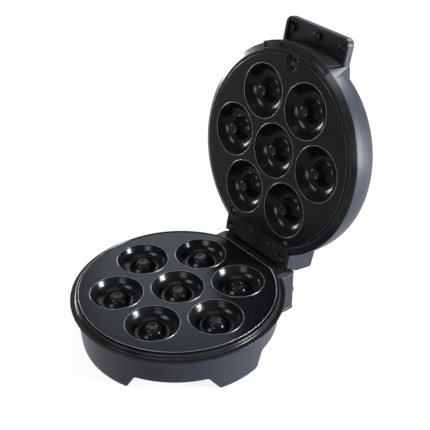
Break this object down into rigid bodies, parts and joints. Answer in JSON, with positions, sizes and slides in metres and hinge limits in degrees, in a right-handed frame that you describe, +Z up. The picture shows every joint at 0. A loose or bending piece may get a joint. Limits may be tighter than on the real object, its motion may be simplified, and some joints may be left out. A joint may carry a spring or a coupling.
{
  "type": "donut maker",
  "caption": "Round electric donut maker: footed base and hinged lid, each with a non-stick plate of ring moulds, shown open, with a flat tongue handle on the lid.",
  "frame": {"origin": "on the floor, under the middle of the outline of the open donut maker; the axis of the round base stands 35.9 mm in front of it", "axes": "+Z up, -Y towards the user and the front leg, +Y towards the hinge, X along the hinge"},
  "size_m": [0.2018, 0.2734, 0.2656],
  "materials": {
    "housing_grey": "satin grey moulded plastic with a fine grain",
    "trim_black": "glossy black moulded plastic",
    "non_stick": "die-cast aluminium with a dark semi-gloss non-stick coating, rim left bright",
    "steel": "zinc-plated steel",
    "dark_steel": "black-oxide steel",
    "galvanised": "galvanised sheet steel",
    "heater": "dark oxidised steel sheath",
    "rubber": "matt black rubber",
    "ceramic": "off-white ceramic",
    "bakelite": "dark brown phenolic plastic",
    "red_lens": "clear red plastic",
    "green_lens": "clear green plastic"
  },
  "bodies": {
    "base": {"base_shell": "housing_grey", "base_trim": "trim_black", "rear_plinth": "housing_grey", "base_bottom_cover": "trim_black", "lower_mould_plate": "non_stick", "lower_heating_element": "heater", "lower_heat_shield": "galvanised", "thermostat": "bakelite", "thermal_fuse": "ceramic", "base_terminal_block": "ceramic", "cord_inlet_bush": "rubber", "foot_front": "rubber", "foot_right": "rubber", "foot_left": "rubber", "foot_rear_left": "rubber", "foot_rear_right": "rubber", "rear_bumper_left": "rubber", "rear_bumper_right": "rubber", "hinge_pin_left": "steel", "hinge_pin_right": "steel", "bottom_cover_screw_1": "steel", "bottom_cover_screw_2": "steel", "bottom_cover_screw_3": "steel", "bottom_cover_screw_4": "steel", "lower_plate_screw_1": "steel", "lower_plate_screw_2": "steel", "lower_plate_screw_3": "steel"},
    "lid": {"lid_shell": "housing_grey", "lid_trim": "trim_black", "upper_mould_plate": "non_stick", "upper_heating_element": "heater", "upper_heat_shield": "galvanised", "upper_terminal_block": "ceramic", "handle_cover": "trim_black", "lamp_holder": "trim_black", "power_lamp_lens": "red_lens", "ready_lamp_lens": "green_lens", "handle_screw_left": "dark_steel", "handle_screw_middle": "dark_steel", "handle_screw_right": "dark_steel", "upper_plate_screw_front": "dark_steel", "upper_plate_screw_left": "dark_steel", "upper_plate_screw_right": "dark_steel"}
  },
  "joints": [
    {"name": "lid_hinge", "type": "hinge", "parent": "base", "child": "lid", "pos_m": [0, 0.0636, 0.0568], "axis": [1, 0, 0], "range_deg": [0, 102.6]}
  ]
}
